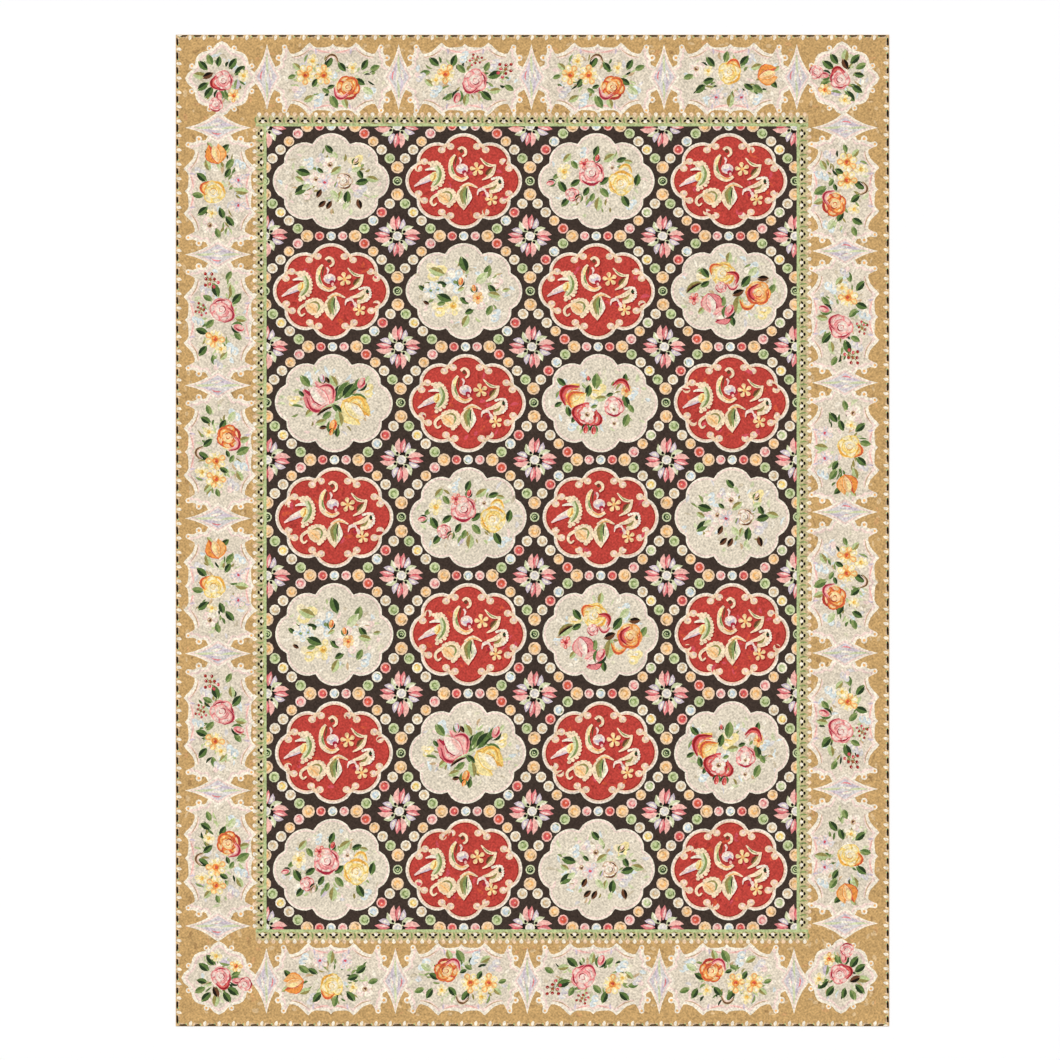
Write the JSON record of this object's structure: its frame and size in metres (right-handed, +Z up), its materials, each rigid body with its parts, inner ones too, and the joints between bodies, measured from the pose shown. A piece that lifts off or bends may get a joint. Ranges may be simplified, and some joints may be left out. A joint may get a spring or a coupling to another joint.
{
  "type": "bessarabian rug",
  "caption": "Large flat-woven wool rug, laid flat, with a medallion field in a bead trellis and a flower-bouquet border.",
  "frame": {"origin": "middle of the underside, on the floor plane", "axes": "+Y along the rug's length, towards the top edge of the pattern; +X across its width; +Z up, away from the floor"},
  "size_m": [3.05, 4.24, 0.003],
  "materials": {
    "wool": "matte flat-woven wool, many yarn colours"
  },
  "bodies": {
    "root": {"rug": "wool"}
  },
  "joints": []
}
